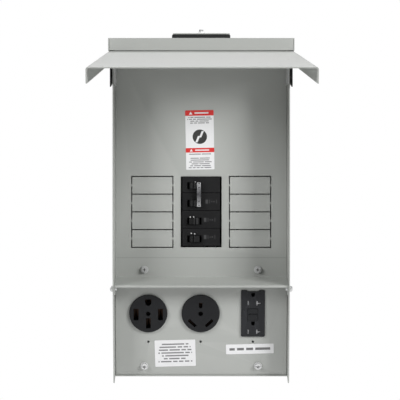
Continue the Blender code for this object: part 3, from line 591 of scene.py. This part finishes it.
def dressed(node, name, body, material, width, segments=2):
    piece = copyOfNode(node, name)
    roundEdges(piece, width, segments)
    finishPiece(piece, node, body, material)


sheetMetal = {                                             # piece, body, paint, edge radius
    "enclosure_shell": ("shellSkin", "enclosure", paintGrey, 0.00045),
    "top_cap": ("capSkin", "enclosure", paintGrey, 0.0009),
    "lid": ("lidSkin", "lid", paintGrey, 0.0005),
    "deadfront": ("deadfrontSkin", "enclosure", paintSlitShaded, 0.00022),
    "receptacle_panel": ("receptaclePanelSkin", "enclosure", paintGrey, 0.00035),
    "hub_closure_plate": ("closurePlateSkin", "enclosure", paintGrey, 0.0006),
}
for node, (name, body, material, width) in sheetMetal.items():
    dressed(node, name, body, material, width)
print("sheet metal done")

darkParts = {                                              # piece, slot, material, edge radius
    "hinge_bracket_left": ("bracketLeftSkin", "black_paint", paintBracket, 0.0003),
    "hinge_bracket_right": ("bracketRightSkin", "black_paint", paintBracket, 0.0003),
    "hub_collar": ("hubCollarSkin", "black_paint", plasticGasket, 0.0008),
    "receptacle_50_body": ("outlet50Skin", "charcoal_plastic", plasticOutlet, 0.00035),
    "receptacle_30_body": ("outlet30Skin", "charcoal_plastic", plasticOutlet, 0.00035),
    "gfci_body": ("duplexSkin", "charcoal_plastic", plasticDuplex, 0.0003),
    **{f"breaker_case_{number}": (f"case{number}Skin", "black_plastic", plasticBreaker, 0.0004)
       for number in (1, 2, 3, 4)},
}
for node, (name, slot, material, width) in darkParts.items():
    dressed(node, name, "enclosure", material, width)
for name in ("test", "reset"):
    dressed(f"gfci_{name}_button", name + "ButtonSkin", name + "_button", plasticButton,
            0.0005, 3)
print("dark parts done")

screwCross = {
    "slim": 0.0006,                                        # half the width of a slot
    "long": 0.0021,                                        # half the length of a slot
    "depth": 0.0012,
    "rounding": 0.00015,
    "flatness": 0.9,                                       # how squarely a face must face outwards
    "frontRim": 0.0004,                                    # and how near the front it must lie
}


def crossedScrew(kind, side, lean):
    node = f"{kind}_screw_{side}"
    low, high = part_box(node)
    middle = (low + high) / 2
    rightward = Vector((1, 0, 0))
    outward = Vector((0, -math.cos(lean), -math.sin(lean)))
    upward = outward.cross(rightward)
    piece = copyOfNode(node, kind + "Screw" + side.title())
    front = max((vertex.co - middle).dot(outward) for vertex in piece.data.vertices)
    slim, long = screwCross["slim"], screwCross["long"]
    for normal in (rightward, upward):
        home = middle.dot(normal)
        sliced(piece, normal, [home + step for step in (-slim, slim, -long, long)])

    def inCross(face):
        away = face.center - middle
        across, up = abs(away.dot(rightward)), abs(away.dot(upward))
        square = face.normal.dot(outward) > screwCross["flatness"]
        atFront = away.dot(outward) > front - screwCross["frontRim"]
        return square and atFront and min(across, up) < slim and max(across, up) < long

    sunk(piece, inCross, screwCross["depth"])
    roundEdges(piece, screwCross["rounding"])
    finishPiece(piece, node, "enclosure", metalZinc)


for side in ("left", "right"):
    crossedScrew("deadfront", side, 0.0)
    crossedScrew("panel", side, panelLean)
    dressed(f"side_stud_{side}", "stud" + side.title(), "enclosure", metalZinc, 0.0004, 3)
dressed("hub_bolt", "hubBoltSkin", "enclosure", metalBolt, 0.0003)
dressed("handle_tie", "tieSkin", "breaker_50_handles", metalTie, 0.0003)
print("fasteners done")

handleBodies = {
    1: "breaker_50_handles",
    2: "breaker_50_handles",
    3: "breaker_30_handle",
    4: "breaker_20_handle",
}
handleGrip = {
    "pitch": 0.0017,
    "groove": 0.0007,
    "depth": 0.0004,
    "axisX": -0.0097,                                      # the paddle turns about this line
    "axisY": -0.0705,
    "crown": 0.0122,                                       # faces beyond this radius are the crown
    "sideways": 0.3,                                       # the paddle's ends face up or down more than this
    "rounding": 0.00018,
}


def grippedHandle(number, body):                           # grooves pressed across the paddle's crown
    node = f"breaker_handle_{number}"
    low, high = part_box(node)
    middle = (low.z + high.z) / 2
    piece = copyOfNode(node, f"handle{number}Skin")
    groove = handleGrip["groove"]
    starts = [middle + step * handleGrip["pitch"] - groove / 2 for step in range(-2, 3)]
    sliced(piece, Vector((0, 0, 1)), [start + shift for start in starts for shift in (0, groove)])

    def inGroove(face):
        away = math.hypot(face.center.x - handleGrip["axisX"], face.center.y - handleGrip["axisY"])
        between = any(start < face.center.z < start + groove for start in starts)
        return between and away > handleGrip["crown"] and abs(face.normal.z) < handleGrip["sideways"]

    sunk(piece, inGroove, handleGrip["depth"])
    roundEdges(piece, handleGrip["rounding"])
    finishPiece(piece, node, body, plasticHandle)


for number, body in handleBodies.items():
    grippedHandle(number, body)
print("handles done")

slotPaint = {
    "black_plastic": plasticBreaker,
    "zinc_steel": metalZinc,
    "brass": metalBrassShaded,
    "aluminium": metalTinned,
}
nodePaint = {
    "warning_label": printWarning,
    "outlet_label": printOutlet,
    "gfci_label": printDuplex,
    "gfci_contact_hot": metalPlated,
    "gfci_contact_neutral": metalPlated,
}
smoothAngle = math.radians(30)
for entry in frame["record"]["subparts"]:                  # the CAD nodes that still show
    shape = frame["nodes"][entry["node"]]
    if not shape.hide_render:
        shape.data.materials.clear()
        shape.data.materials.append(nodePaint.get(entry["node"]) or slotPaint[entry["material_slot"]])
        only(shape)
        bpy.ops.object.shade_smooth_by_angle(angle=smoothAngle)
print("frame parts painted")

studio = {
    "floorLevel": -1.3,
    "floorSize": 13.0,
    "floorTones": ((0.93, 0.93, 0.93), (0.96, 0.96, 0.96)),
    "floorGlow": 0.35,
    "cameraDistance": 2.2,
    "cameraHeight": 0.017,
    "cameraX": -0.0050,
    "lens": 141.8,
    "sensor": 36.0,
    "shiftX": 0.0058,
    "worldLight": 0.06,
    "backdrop": 1.0,
    "target": (0.0, -0.15, 0.0),
}
softBoxes = {                                              # place, size, power
    "rightHigh": ((1.9, -1.6, 1.0), 1.0, 47.0),
    "leftHigh": ((-1.9, -1.6, 1.0), 1.0, 35.0),
    "rightSide": ((2.2, -1.6, 0.2), 1.4, 7.0),
    "overFront": ((0.0, -1.5, 2.1), 1.0, 7.5),
    "behindTop": ((0.0, 1.6, 1.6), 1.4, 15.0),
    "rearFill": ((-1.6, 2.4, 0.3), 1.6, 26.0),
}


def floorPaint():
    paint = Paint("paleFloor", roughness=0.8)
    cloud = paint.noise(paint.place(), 0.8, 3.0)
    tone = paint.blend(cloud, *studio["floorTones"])
    paint.feed("Base Color", tone)
    paint.feed("Emission Color", tone)
    paint.feed("Emission Strength", studio["floorGlow"])
    return paint.material


def buildWorld():                                          # white to the camera, dimmer as a light
    world = bpy.data.worlds.new("softStudio")
    world.use_nodes = True
    tree = world.node_tree
    glow = tree.nodes["Background"]
    backdrop = tree.nodes.new("ShaderNodeBackground")
    for light, strength in ((glow, studio["worldLight"]), (backdrop, studio["backdrop"])):
        light.inputs["Color"].default_value = (1, 1, 1, 1)
        light.inputs["Strength"].default_value = strength
    path = tree.nodes.new("ShaderNodeLightPath")
    choice = tree.nodes.new("ShaderNodeMixShader")
    tree.links.new(path.outputs["Is Camera Ray"], choice.inputs[0])
    tree.links.new(glow.outputs[0], choice.inputs[1])
    tree.links.new(backdrop.outputs[0], choice.inputs[2])
    tree.links.new(choice.outputs[0], tree.nodes["World Output"].inputs["Surface"])
    bpy.context.scene.world = world
    bpy.context.scene.view_settings.view_transform = "Standard"


def buildStudio():
    bpy.ops.object.select_all(action="DESELECT")
    bpy.ops.mesh.primitive_plane_add(size=studio["floorSize"], location=(0, 0, studio["floorLevel"]))
    floor = bpy.context.object
    floor.name = "studioFloor"
    floor.data.materials.append(floorPaint())
    for name, (place, size, power) in softBoxes.items():
        bpy.ops.object.light_add(type="AREA", location=place)
        lamp = bpy.context.object
        lamp.name = name + "SoftBox"
        lamp.data.size = size
        lamp.data.energy = power
        aim = Vector(studio["target"]) - lamp.location
        lamp.rotation_euler = aim.to_track_quat("-Z", "Y").to_euler()


def buildCamera():
    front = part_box("enclosure_shell")[0].y
    bpy.ops.object.camera_add(
        location=(studio["cameraX"], front - studio["cameraDistance"], studio["cameraHeight"]),
        rotation=(math.radians(90), 0, 0))
    camera = bpy.context.object
    camera.data.lens = studio["lens"]
    camera.data.sensor_width = studio["sensor"]
    camera.data.shift_x = studio["shiftX"]
    bpy.context.scene.camera = camera


buildWorld()
buildStudio()
buildCamera()
print("studio done")
